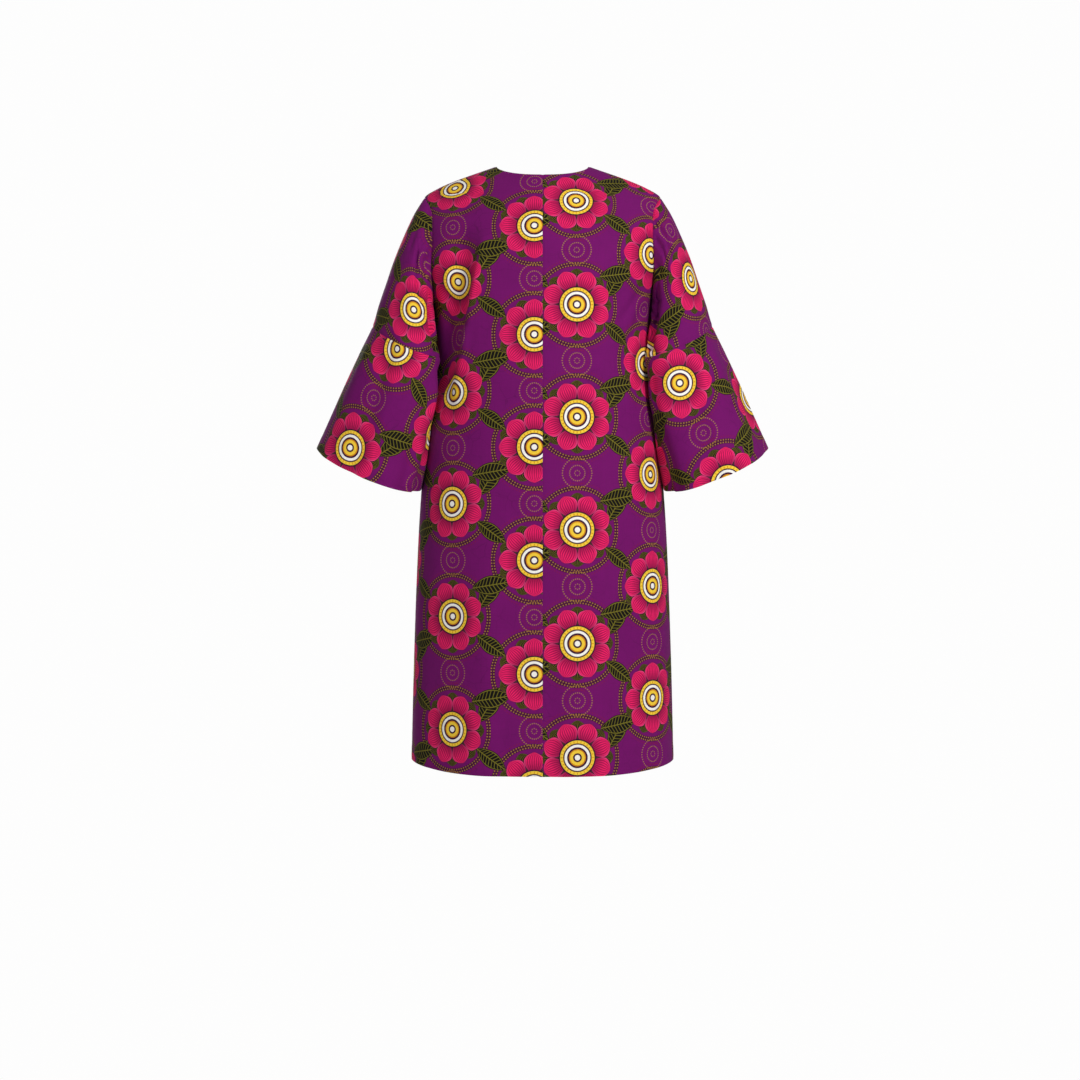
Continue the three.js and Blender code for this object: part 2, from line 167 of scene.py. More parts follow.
# A fold runs from its first point to its second, and depth is how far its middle lies inside the
# form. A negative depth is a ridge. x is towards the jacket's left. Each row is a fold of its face.
Fold = namedtuple("Fold", "x0 drop0 x1 drop1 width depth")
LARGE_FOLDS = {
    "back": [
        (120, 96, 180, 440, 21, 9),
        (88, 110, 146, 450, 20, -3),
        (-124, 120, -166, 400, 20, 6),
        (150, 620, 168, 1075, 34, 6),
        (-138, 560, -160, 1075, 36, 5),
    ],
    "front": [
        (118, 290, 132, 1075, 26, 8),
        (74, 330, 80, 1075, 24, -6),
        (-112, 300, -126, 1075, 28, 7),
        (-70, 360, -84, 1075, 24, -6),
    ],
}
CREASES = {
    "back": [
        (134, 104, 188, 420, 22, 10.0),
        (96, 116, 154, 440, 8, -4.6),
        (110, 140, 158, 380, 6, 3.0),
        (184, 214, 118, 302, 7, 2.6),
        (182, 246, 132, 356, 8, 2.9),
        (176, 262, 152, 470, 9, 2.6),
        (-184, 206, -122, 296, 7, 2.4),
        (-182, 240, -136, 338, 7, 3.1),
        (-178, 262, -158, 452, 9, 2.6),
        (-150, 120, -176, 330, 13, 3.4),
        (84, 22, 150, 104, 11, 2.0),
        (-88, 24, -148, 96, 12, 1.7),
        (-196, 96, -150, 128, 6, 1.8),
        (28, 60, 44, 190, 16, 2.0),
        (-36, 70, -60, 230, 18, 2.2),
        (34, 470, 38, 1075, 30, 2.4),
        (-52, 430, -44, 1075, 28, -2.4),
        (92, 690, 98, 1075, 22, -2.6),
        (-104, 740, -100, 1075, 24, -2.2),
        (66, 930, 68, 1075, 14, 1.8),
        (-18, 900, -14, 1075, 15, 1.8),
        (-178, 780, -182, 1075, 18, 2.4),
        (186, 800, 190, 1075, 16, 2.0),
        (20, 330, 110, 392, 14, 1.3),
        (-24, 352, -116, 420, 15, 1.4),
    ],
    "front": [
        (92, 40, 70, 250, 14, 2.2),
        (-94, 44, -72, 262, 15, 2.4),
        (184, 210, 112, 318, 8, 2.0),
        (180, 250, 124, 392, 9, 1.9),
        (-184, 204, -116, 300, 8, 2.1),
        (-180, 246, -128, 372, 9, 1.8),
        (166, 430, 172, 1075, 24, -3.2),
        (-164, 470, -172, 1075, 24, -3.0),
        (52, 620, 54, 1075, 11, 2.0),
        (-50, 560, -54, 1075, 11, 1.8),
        (98, 780, 102, 1075, 16, 2.2),
        (-146, 820, -148, 1075, 18, 2.4),
    ],
}
FOLD_FADE = 0.16
FOLD_TAPER = 0.22

# A sleeve's fold runs from one ring to another at a turn in degrees, where 0 is the top line, 90 is
# the back and 180 is the underarm line. Each row is a fold of the left sleeve, 1, or the right, -1.
SleeveFold = namedtuple("SleeveFold", "ring0 turn0 ring1 turn1 width depth")
LARGE_SLEEVE_FOLDS = {
    1: [
        (0.6, 118, 4.6, 138, 15, 9),
        (5.4, 62, 10.5, 74, 19, 7),
        (5.6, 250, 10.5, 262, 20, 8),
    ],
    -1: [
        (0.6, 112, 4.2, 134, 15, 8),
        (5.2, 82, 10.5, 92, 20, 6),
        (5.6, 270, 10.5, 280, 20, 8),
    ],
}
SLEEVE_CREASES = {
    1: [
        (1.0, 130, 5.9, 143, 12, 7.5),
        (6.1, 144, 10.5, 152, 13, 6.5),
        (0.0, 44, 2.2, 52, 6, 2.2),
        (0.0, 68, 2.6, 78, 6, 3.0),
        (0.1, 92, 2.4, 104, 6, 3.5),
        (1.0, 62, 3.2, 104, 5, 4.2),
        (1.4, 78, 3.6, 116, 5, 3.2),
        (0.3, 150, 3.4, 124, 6, 3.5),
        (4.2, 150, 6.0, 112, 8, 2.9),
        (4.0, 168, 5.8, 128, 8, 3.2),
        (6.6, 118, 10.5, 126, 16, 4.8),
        (6.2, 34, 10.5, 40, 18, -4.2),
        (6.1, 140, 9.0, 150, 10, 3.5),
        (6.0, 300, 10.5, 308, 18, 5.4),
        (0.4, 290, 3.0, 262, 7, 3.5),
        (0.2, 318, 2.4, 300, 7, 2.6),
        (4.4, 236, 6.0, 262, 9, 3.8),
    ],
    -1: [
        (0.5, 126, 5.9, 140, 12, 8.5),
        (6.1, 142, 10.5, 150, 14, 8.0),
        (0.0, 38, 2.0, 46, 6, 2.4),
        (0.0, 60, 2.8, 66, 5, 3.8),
        (0.1, 76, 2.2, 86, 5, 3.5),
        (0.2, 100, 2.6, 92, 5, 2.9),
        (0.3, 146, 2.8, 108, 5, 3.8),
        (0.6, 158, 3.4, 122, 5, 3.5),
        (1.2, 166, 4.2, 138, 6, 3.2),
        (4.4, 152, 6.0, 118, 8, 2.9),
        (6.4, 126, 10.5, 134, 15, 4.8),
        (6.2, 44, 10.5, 50, 18, -4.5),
        (6.1, 24, 10.5, 22, 14, 2.9),
        (6.0, 316, 10.5, 322, 18, 4.8),
        (0.4, 286, 3.2, 258, 7, 3.8),
        (4.4, 232, 6.0, 258, 9, 3.5),
    ],
}

# Where each piece was cut from the printed cloth: its corner's place in the print.
PRINT_PLACE = {
    "back_left": (14, 34),
    "back_right": (88, 78),
    "front_left": (46, 104),
    "front_right": (112, 150),
    "sleeve_upper_left": (24, 26),
    "sleeve_upper_right": (52, 92),
    "sleeve_flare_left": (34, 96),
    "sleeve_flare_right": (8, 140),
}


def lerp(start, end, share):
    """start + (end - start) * share."""
    return start + (end - start) * share


def smoothstep(value, low, high):
    """3s^2 - 2s^3, where the share s is 0 up to low and 1 from high on. low may be the greater."""
    share = np.clip((value - low) / (high - low), 0, 1)
    return share * share * (3 - 2 * share)


def read_table(rows, by, key, value):
    """A column at any value of another: a cubic through the rows, whose slope at a row is that
    between its two neighbours."""
    at, column = rows[by], rows[key]
    last = len(at) - 1
    after = np.minimum(np.arange(last + 1) + 1, last)
    before = np.maximum(np.arange(last + 1) - 1, 0)
    slope = (column[after] - column[before]) / (at[after] - at[before])
    row = np.searchsorted(at[1:-1], value, side="left")
    span = at[row + 1] - at[row]
    share = (value - at[row]) / span
    rise = column[row + 1] - column[row]
    slope0, slope1 = slope[row] * span, slope[row + 1] * span
    square = 3 * rise - 2 * slope0 - slope1
    cube = slope0 + slope1 - 2 * rise
    return column[row] + share * (slope0 + share * (square + share * cube))


def form_size(drop):
    """The form's half width, reaches and fullness at any drop, read from its table."""
    return {key: read_table(FORM, "drop", key, drop) for key in FORM if key != "drop"}


def form_point(face, turn, drop):
    """x = half_width * sin(turn)^p and y = reach * cos(turn)^p, with p = 2 / fullness: turn is 0 at
    the centre line and a quarter turn at the seam."""
    size = form_size(drop)
    power = 2 / size["fullness"]
    x = size["half_width"] * np.sin(turn) ** power
    y = size[face] * np.maximum(np.cos(turn), 0) ** power
    return np.stack([x, FACE_SIGN[face] * y, -drop], axis=-1)


def turn_at_x(x, drop):
    """The turn at which a level line reaches x: the arc sine of (x / half_width)^(fullness / 2)."""
    size = form_size(drop)
    return np.arcsin(np.minimum(x / size["half_width"], 1) ** (size["fullness"] / 2))


def body_side(y, drop):
    """How far out the body's side stands at a depth y and a drop."""
    size = form_size(drop)
    reach = np.where(y > 0, size["back"], size["front"])
    share = np.minimum(np.abs(y) / reach, 1)
    return size["half_width"] * (1 - share ** size["fullness"]) ** (1 / size["fullness"])


def armhole_edge(face, around):
    """The drop and the reach in y of the armhole's oval, narrower towards its top. around is 0 at
    the shoulder tip and half a turn at the underarm."""
    middle = (SHOULDER_TIP_DROP + UNDERARM_DROP) / 2
    drop = middle - (UNDERARM_DROP - SHOULDER_TIP_DROP) / 2 * np.cos(around)
    power = np.where(around < QUARTER, ARMHOLE_TOP_NARROWING, 1)
    return drop, ARMHOLE_DEPTH[face] * np.maximum(np.sin(around), 0) ** power


def front_edge_x(drop):
    """How far the front edge lies from the centre line: a smooth step from the hanging edge to the
    neck point over the vee, and straight below it."""
    low, high = -VEE_EASING, 1 + VEE_EASING
    bottom, top = smoothstep(0, low, high), smoothstep(1, low, high)
    rise = (smoothstep(1 - drop / VEE_DROP, low, high) - bottom) / (top - bottom)
    return np.where(drop < VEE_DROP, lerp(FRONT_EDGE_X, NECK_HALF_WIDTH, rise), FRONT_EDGE_X)


def start_turn(face, drop):
    """The turn at a panel's inner edge: 0 at the centre back, and the front edge's in front."""
    return np.zeros_like(drop) if face == "back" else turn_at_x(front_edge_x(drop), drop)


def skirt_place(face, across, rise):
    """Below the underarm: the turn runs evenly from the inner edge to the side seam, and the drop
    from the hem, side_drop + centre_extra * (1 - sin(turn)^roundness), to the underarm."""
    first = start_turn(face, lerp(HEM_SIDE_DROP, UNDERARM_DROP, rise))
    turn = lerp(first, QUARTER, across)
    bottom = HEM_SIDE_DROP + HEM_CENTRE_EXTRA * (1 - np.sin(turn) ** HEM_ROUNDNESS)
    return turn, lerp(bottom, UNDERARM_DROP, rise)


def armhole_place(face, across, rise):
    """Beside the armhole: rows at even steps round its oval, each from the inner edge to the turn
    where the level line stands as deep as the oval, the arc cosine of (y / reach)^(fullness / 2)."""
    drop, y = armhole_edge(face, math.pi * (1 - rise))
    size = form_size(drop)
    end = np.arccos(np.minimum(y / size[face], 1) ** (size["fullness"] / 2))
    return lerp(start_turn(face, drop), end, across), drop


def yoke_place(face, across, rise):
    """Above the armhole: the front's rows rise evenly to the neck point. The back's columns run
    evenly to the neckline, where x = half width * sin(q) and the drop is back drop * cos(q)."""
    if face == "front":
        drop = SHOULDER_TIP_DROP * (1 - rise)
        return lerp(start_turn(face, drop), QUARTER, across), drop
    quarter = across * QUARTER
    neck_drop = NECK_BACK_DROP * np.cos(quarter)
    neck_turn = turn_at_x(NECK_HALF_WIDTH * np.sin(quarter), neck_drop)
    return lerp(quarter, neck_turn, rise), lerp(SHOULDER_TIP_DROP, neck_drop, rise)


def close_at_ends(steps):
    """Shares from 0 to 1 whose steps are shorter towards both ends."""
    even = np.linspace(0, 1, steps + 1)
    return (even + (1 - np.cos(math.pi * even)) / 2) / 2


def panel_grid(face):
    """The shares across, the turn and the drop of a body panel's grid: rows from the hem to the
    underarm, up the armhole and over the yoke to the neckline, with closer columns at the edges."""
    across = close_at_ends(PANEL_COLUMNS)
    hem_share = HEM_WIDTH / (HEM_SIDE_DROP - UNDERARM_DROP)
    skirt = np.concatenate([
        np.linspace(0, hem_share, HEM_ROWS, endpoint=False),
        np.linspace(hem_share, 1, SKIRT_ROWS, endpoint=False),
    ])
    armhole = np.linspace(0, 1, ARMHOLE_ROWS + 1)
    yoke = np.linspace(0, FRONT_TIP if face == "front" else 1, YOKE_ROWS + 1)[1:]
    parts = []
    for place, rises in ((skirt_place, skirt), (armhole_place, armhole), (yoke_place, yoke)):
        parts.append(np.broadcast_arrays(*place(face, *np.meshgrid(across, rises))))
    turn = np.concatenate([part[0] for part in parts])
    drop = np.concatenate([part[1] for part in parts])
    return across[None, :], turn, drop


def fold_depth(folds, face, x, drop):
    """The sum of soft troughs: depth * exp(-(distance / width)^2) from each fold's line, which
    rises over a share of its length and dies away again unless it runs out at the hem."""
    depth = np.zeros_like(drop)
    for fold in map(Fold._make, folds[face]):
        run_x, run_drop = fold.x1 - fold.x0, fold.drop1 - fold.drop0
        length = math.hypot(run_x, run_drop)
        along = ((x - fold.x0) * run_x + (drop - fold.drop0) * run_drop) / length**2
        distance = ((x - fold.x0) * run_drop - (drop - fold.drop0) * run_x) / length
        start = smoothstep(along, 0, FOLD_TAPER)
        end = 1 if fold.drop1 > HEM_SIDE_DROP else smoothstep(1 - along, 0, FOLD_TAPER)
        depth += fold.depth * start * end * np.exp(-((distance / fold.width) ** 2))
    return depth


def sleeve_fold_depth(folds, side, ring, turn, size):
    """The sum of a sleeve's troughs, with the distance measured round the ring."""
    depth = np.zeros(np.broadcast(ring, turn).shape)
    for fold in map(SleeveFold._make, folds[side]):
        along = (ring - fold.ring0) / (fold.ring1 - fold.ring0)
        middle = np.radians(lerp(fold.turn0, fold.turn1, along))
        distance = np.angle(np.exp(1j * (turn - middle))) * size
        start = smoothstep(along, 0, FOLD_TAPER) if fold.ring0 > 0 else 1
        end = 1 if fold.ring1 > CUFF_RING else smoothstep(1 - along, 0, FOLD_TAPER)
        within = (along >= 0) & (along <= 1)
        depth += within * fold.depth * start * end * np.exp(-((distance / fold.width) ** 2))
    return depth


def seam_roll(distance):
    """How far the cloth dips at a seam: depth * exp(-(distance / width)^2)."""
    return SEAM_ROLL_DEPTH * np.exp(-((distance / SEAM_ROLL_WIDTH) ** 2))


def pucker(distance, along, puckers):
    """Ripples that a line of stitches draws up: a sine whose pitch drifts and whose depth swells,
    dying away from the stitches and held flat at the seam, where two pieces meet."""
    turns = 2 * math.pi * along / puckers.pitch
    phase = turns + PUCKER_DRIFT * np.sin(turns / DRIFT_PITCHES)
    swell = 1 - PUCKER_SWELL + PUCKER_SWELL * np.sin(turns / SWELL_PITCHES)
    beside = smoothstep(distance, 0, PUCKER_START) * np.exp(-distance / PUCKER_FADE)
    return puckers.depth * swell * beside * np.sin(phase)


def hem_step(distance):
    """How far the cloth stands out over a turned hem: a smooth step across the line of stitches."""
    return HEM_STEP * smoothstep(distance, HEM_WIDTH + 1, HEM_WIDTH - 2)


def unit_way(points, middle):
    """Vectors of length 1 from the points straight towards a middle."""
    way = middle - points
    return way / np.linalg.norm(way, axis=-1, keepdims=True)


def seam_dip(points, middle, distance):
    """The dip at a sleeve's seam, straight towards the middle of its ring, so that the two pieces
    which meet there dip alike."""
    return unit_way(points, middle) * seam_roll(distance)[..., None]


def ring_middle(ring):
    """The x and z midway between a ring's outer and inner ends."""
    x = (ring["outer_x"] + ring["inner_x"]) / 2
    return x, -(ring["outer_drop"] + ring["inner_drop"]) / 2


def armhole_middle():
    """The middle of the sleeve's first ring, which is the armhole."""
    first = {key: column[0] for key, column in SLEEVE.items()}
    x, z = ring_middle(first)
    return np.array([x, first["mid_y"], z])


def inward_of(points, towards, wraps):
    """The grid's unit normals, on the side that most of them have in common with towards."""
    if wraps:
        points = np.concatenate([points[:, -1:], points, points[:, :1]], axis=1)
    across = np.gradient(points, axis=1)
    along = np.gradient(points, axis=0)
    normal = np.cross(across, along)
    if wraps:
        normal = normal[:, 1:-1]
    normal /= np.maximum(np.linalg.norm(normal, axis=-1, keepdims=True), 1e-9)
    if (normal * towards).sum() < 0:
        normal = -normal
    return normal


def running_total(steps, axis):
    """The sums of steps along a row or column, from 0 at the first point."""
    sums = np.cumsum(steps, axis=axis)
    return np.concatenate([np.zeros_like(np.take(sums, [0], axis=axis)), sums], axis=axis)


def distance_along(points, axis):
    """How far each point of a grid lies along its row or column, from the first one."""
    return running_total(np.linalg.norm(np.diff(points, axis=axis), axis=-1), axis)


def square_distance(points, drift, axis):
    """How far each point lies along its row or column on the flat cloth, where drift is its place
    the other way: each step is the root of its square less the square of the drift in it, and is
    never shortened by more than half."""
    steps = np.linalg.norm(np.diff(points, axis=axis), axis=-1)
    aside = np.diff(drift, axis=axis)
    return running_total(np.sqrt(np.maximum(steps**2 - aside**2, (steps / 2) ** 2)), axis)


def wall_at_edge(distance):
    """The cloth's thickness near a seam or a turned edge, where it lies double on the inside."""
    double = smoothstep(distance, EDGE_TURN_WIDTH + 1, EDGE_TURN_WIDTH - 1)
    return lerp(CLOTH_THICKNESS, EDGE_THICKNESS, double)


def wall_at_hem(distance):
    """The cloth's thickness near the hem and the cuffs, where it is turned up on the inside."""
    turned_up = smoothstep(distance, HEM_WIDTH + 1, HEM_WIDTH - 1)
    return lerp(CLOTH_THICKNESS, HEM_THICKNESS, turned_up)


def meet_at_seams(points, face, at_seam):
    """Puts a panel's edges half a gap from the centre back and from the side and shoulder seams,
    and keeps the rest of it on its own side of them."""
    half_gap = SEAM_GAP / 2
    if face == "back":
        points[..., 0] = np.maximum(points[..., 0], half_gap)
        points[:, 0, 0] = half_gap
    depth = np.maximum(FACE_SIGN[face] * points[..., 1], half_gap)
    depth[at_seam, -1] = half_gap
    points[..., 1] = FACE_SIGN[face] * depth


def body_cloth(side, face):
    """A body panel's outer and inner points and its place on the flat cloth, for one side."""
    share, turn, drop = panel_grid(face)
    points = form_point(face, turn, drop)
    fade = smoothstep(np.minimum(share, 1 - share), 0, FOLD_FADE)
    large = fold_depth(LARGE_FOLDS, face, side * points[..., 0], drop)
    points[..., 1] -= FACE_SIGN[face] * fade * large
    from_start = distance_along(points, 1)
    to_end = from_start[:, -1:] - from_start
    across = from_start
    if face == "front":
        across = across + front_edge_x(drop[:, :1]) - FRONT_EDGE_X
    rising = square_distance(points, across, 0)
    flat = np.stack([across, rising + HEM_SIDE_DROP - drop[:1]], axis=-1)
    from_neck = rising[-1:] - rising

    towards = points * TO_THE_MIDDLE + DOWNWARDS
    inward = inward_of(points, towards, False)
    near_edge = smoothstep(np.minimum(from_start, to_end), 0, EDGE_CREASE_FADE)
    depth = near_edge * fold_depth(CREASES, face, side * points[..., 0], drop)
    edge_drop = drop[:, -1:]
    at_armhole = smoothstep(edge_drop - SHOULDER_TIP_DROP, 0, ARMHOLE_SEAM_FADE)
    at_armhole = at_armhole * smoothstep(UNDERARM_DROP - edge_drop, 0, ARMHOLE_SEAM_FADE)
    depth += (1 - at_armhole) * seam_roll(to_end) + pucker(to_end, rising, SIDE_PUCKERS)
    if face == "back":
        depth += seam_roll(from_start) + pucker(from_start, rising, CENTRE_BACK_PUCKERS)
    depth -= hem_step(rising) * smoothstep(rising, 0, HEM_STEP_FADE)
    points += inward * depth[..., None]
    points += at_armhole[..., None] * seam_dip(points, armhole_middle(), to_end)

    to_edge = np.minimum.reduce([from_start, to_end, from_neck])
    wall = np.maximum(wall_at_hem(rising), wall_at_edge(to_edge))
    inner = points + inward_of(points, towards, False) * wall[..., None]
    at_seam = at_armhole[:, 0] == 0
    meet_at_seams(points, face, at_seam)
    meet_at_seams(inner, face, at_seam)
    return points, inner, flat


def sleeve_points(side, ring, turn):
    """A sleeve's outer surface and its rings' middles: ovals from the top line to the underarm line,
    which grow out of the armhole's own oval over the first ring and keep clear of the body."""
    read = {key: read_table(SLEEVE, "ring", key, ring) for key in SLEEVE if key != "ring"}
    out, across = np.cos(turn), np.sin(turn)
    power = 2 / np.where(out > 0, SLEEVE_FULLNESS_OUTER, SLEEVE_FULLNESS_INNER)
    reach_share = np.sign(out) * np.abs(out) ** power
    depth_share = np.sign(across) * np.abs(across) ** power
    middle_x, middle_z = ring_middle(read)
    x = middle_x + (read["outer_x"] - middle_x) * reach_share
    z = middle_z + (-read["outer_drop"] - middle_z) * reach_share
    y = read["mid_y"] + read["half_depth"] * depth_share
    dip = read["dip"] * np.abs(depth_share) ** SLEEVE_DIP_POWER
    z = z - np.where(depth_share > 0, dip, -SLEEVE_FRONT_RISE * dip)
    points = np.stack([x, y, z], axis=-1)

    middle = np.stack(np.broadcast_arrays(middle_x, read["mid_y"], middle_z), axis=-1)
    depth = sleeve_fold_depth(LARGE_SLEEVE_FOLDS, side, ring, turn, read["half_depth"])
    points = points + unit_way(points, middle) * depth[..., None]

    limit = body_side(points[..., 1], -points[..., 2]) + SLEEVE_CLEARANCE
    past = (points[..., 0] - limit) / SLEEVE_CLEARANCE_SOFTNESS
    points[..., 0] = limit + SLEEVE_CLEARANCE_SOFTNESS * np.log1p(np.exp(past))

    edges = {face: armhole_edge(face, np.abs(turn)) for face in FACE_SIGN}
    drop = edges["back"][0]
    edge_y = np.where(turn > 0, edges["back"][1], -edges["front"][1])
    armhole = np.stack([body_side(edge_y, drop), edge_y, -drop], axis=-1)
    joined = smoothstep(ring, 0, 1)[..., None]
    return lerp(armhole, points, joined), middle


def sector_place(closed, top):
    """The flat place of a flared sleeve piece: its rings are arcs round one centre and its columns
    are radii, with the top line upright."""
    round_it, down = distance_along(closed, 1), distance_along(closed, 0)
    girth = round_it[:, -1]
    flare = max((girth[-1] - girth[0]) / down[-1, top], LEAST_FLARE)
    radius = girth[0] / flare + down
    angle = (round_it - round_it[:, top : top + 1]) / radius
    return np.stack([radius * np.sin(angle), girth[0] / flare - radius * np.cos(angle)], axis=-1)


def slanted_place(closed, top):
    """The flat place of a sleeve piece whose lower ring lies straight across the cloth and whose
    upper one is a curve, high at the top line and low at the underarm line."""
    height = distance_along(closed[::-1], 0)[::-1]
    across = square_distance(closed, height, 1)
    return np.stack([across - across[:, top : top + 1], height], axis=-1)


def sleeve_cloth(side, first_ring, last_ring, rows):
    """One sleeve piece's outer and inner points and its place on the flat cloth."""
    columns = np.linspace(-math.pi, math.pi, SLEEVE_SIDES + 1)[:-1]
    turn, ring = np.meshgrid(columns, lerp(first_ring, last_ring, close_at_ends(rows)))
    points, middle = sleeve_points(side, ring, turn)

    closed = np.concatenate([points, points[:, :1]], axis=1)
    flat = (slanted_place if first_ring == 0 else sector_place)(closed, SLEEVE_SIDES // 2)
    round_it, down = distance_along(closed, 1), distance_along(closed, 0)
    to_underarm = np.minimum(round_it, round_it[:, -1:] - round_it)[:, :-1]
    round_it, below_start, above_end = round_it[:, :-1], down[:, :-1], (down[-1:] - down)[:, :-1]

    inward = inward_of(points, middle - points, True)
    half_depth = read_table(SLEEVE, "ring", "half_depth", ring)
    depth = sleeve_fold_depth(SLEEVE_CREASES, side, ring, turn, half_depth)
    depth += seam_roll(to_underarm) + pucker(to_underarm, below_start, UNDERARM_PUCKERS)
    depth *= smoothstep(below_start, 0, SEAM_CREASE_FADE)
    depth += pucker(below_start, round_it, SLEEVE_START_PUCKERS)
    wall = wall_at_edge(np.minimum.reduce([below_start, above_end, to_underarm]))
    if last_ring == CUFF_RING:
        wall = np.maximum(wall, wall_at_hem(above_end))
        depth -= hem_step(above_end)
        to_seam = below_start
    else:
        depth *= smoothstep(above_end, 0, SEAM_CREASE_FADE)
        depth += pucker(above_end, round_it, SLEEVE_END_PUCKERS)
        to_seam = np.minimum(below_start, above_end)
    dip = seam_dip(points, middle, to_seam)
    points = points + inward * depth[..., None] + dip
    inner = points + inward_of(points, middle - points, True) * wall[..., None]
    way = OFF_THE_BODY if first_ring == 0 else DOWN_THE_SLEEVE
    gap = way * SLANTED_SEAM_GAP * np.exp(-below_start / SLANTED_SEAM_FADE)[..., None]
    return points + gap, inner + gap, flat


def quads_of(rows, columns, wraps):
    """The corners of a grid's cells, as row and column numbers. A wrapping grid's last cell ends in
    a column that stands for the first."""
    last = columns if wraps else columns - 1
    r, c = np.meshgrid(np.arange(rows - 1), np.arange(last), indexing="ij")
    corners = [(r, c), (r, c + 1), (r + 1, c + 1), (r + 1, c)]
    return np.stack([np.stack([a.ravel(), b.ravel()], axis=-1) for a, b in corners], axis=1)


def shell_mesh(name, outer, inner, flat, wraps):
    """A closed mesh between an outer and an inner grid, with its place on the flat cloth as a UV
    map in metres and how far a point is on the cloth's wrong side as an attribute."""
    rows, columns = outer.shape[:2]
    cells = quads_of(rows, columns, wraps)
    row, column = cells[..., 0], cells[..., 1]
    front = row * columns + column % columns
    back = front[:, ::-1] + rows * columns
    faces = [front, back]
    places = [flat[row, column], flat[row, column][:, ::-1]]

    def rim(r, c):
        """A strip from the outer grid's edge to the inner one's, along row and column numbers."""
        here = r * columns + c % columns
        strip = np.stack([here[:-1], here[:-1], here[1:], here[1:]], axis=-1)
        strip[:, 1:3] += rows * columns
        at = flat[r, c]
        faces.append(strip)
        places.append(np.stack([at[:-1], at[:-1], at[1:], at[1:]], axis=1))

    along_row = np.arange(columns + 1 if wraps else columns)
    rim(np.zeros_like(along_row), along_row)
    rim(np.full_like(along_row, rows - 1), along_row[::-1])
    if not wraps:
        along_column = np.arange(rows)
        rim(along_column[::-1], np.zeros_like(along_column))
        rim(along_column, np.full_like(along_column, columns - 1))

    points = np.concatenate([outer.reshape(-1, 3), inner.reshape(-1, 3)]) * MM
    faces, places = np.concatenate(faces), np.concatenate(places)
    a, b, c, d = (points[faces[:, k]] for k in range(4))
    volume = (np.cross(a, b) * c).sum() + (np.cross(a, c) * d).sum()
    if volume < 0:
        faces, places = faces[:, ::-1], places[:, ::-1]

    mesh = bpy.data.meshes.new(name)
    mesh.from_pydata(points.tolist(), [], faces.tolist())
    layer = mesh.uv_layers.new(name="print_place")
    layer.data.foreach_set("uv", (places * MM).astype(np.float32).ravel())
    wrong_side = mesh.attributes.new("wrong_side", "FLOAT", "POINT")
    which = np.repeat([0.0, 1.0], rows * columns).astype(np.float32)
    wrong_side.data.foreach_set("value", which)
    mesh.polygons.foreach_set("use_smooth", np.ones(len(mesh.polygons), bool))
    mesh.set_sharp_from_angle(angle=math.radians(55))
    mesh.update()
    return mesh


def add_piece(node, outer, inner, flat, side, reads_to, wraps):
    """Adds one cut piece, mirrored onto its side, in place of the node of that name. reads_to is
    the way that the print's first axis runs on the left side."""
    mirror = np.array([side, 1, 1])
    place = flat * [side * reads_to, 1] + PRINT_PLACE[node]
    mesh = shell_mesh(node + "_cloth", outer * mirror, inner * mirror, place, wraps)
    piece = bpy.data.objects.new(node + "_cloth", mesh)
    bpy.context.collection.objects.link(piece)
    mesh.materials.append(cotton)
    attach(piece, "root")
    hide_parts(node)
    return piece


